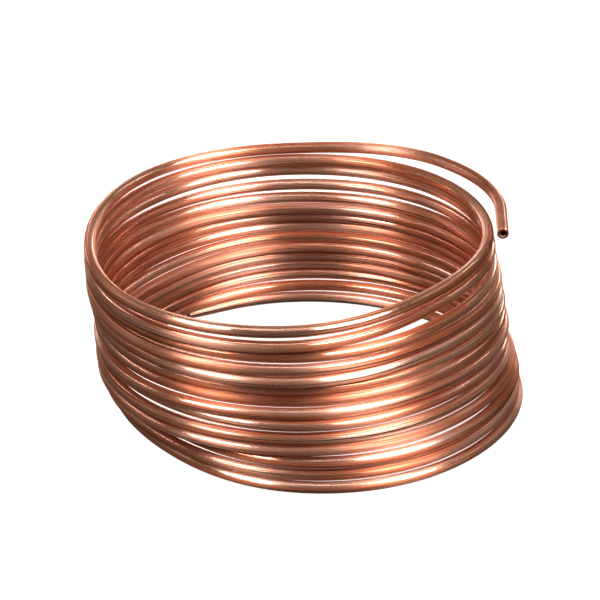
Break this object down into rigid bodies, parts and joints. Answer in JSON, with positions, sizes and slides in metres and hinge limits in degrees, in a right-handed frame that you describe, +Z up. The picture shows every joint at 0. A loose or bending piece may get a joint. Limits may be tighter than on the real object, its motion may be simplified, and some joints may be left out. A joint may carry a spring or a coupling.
{
  "type": "copper tube coil",
  "caption": "Loose open coil of small-bore soft copper tube, one free end at the top and one at the floor.",
  "frame": {"origin": "on the floor, under the middle of the coil's box", "axes": "+Z up along the coil's axis, -Y towards the viewer of the picture, +X to the right of it"},
  "size_m": [0.1204, 0.1146, 0.0529],
  "materials": {
    "copper": "bright drawn copper, a little dulled"
  },
  "bodies": {
    "root": {"tube": "copper"}
  },
  "joints": []
}
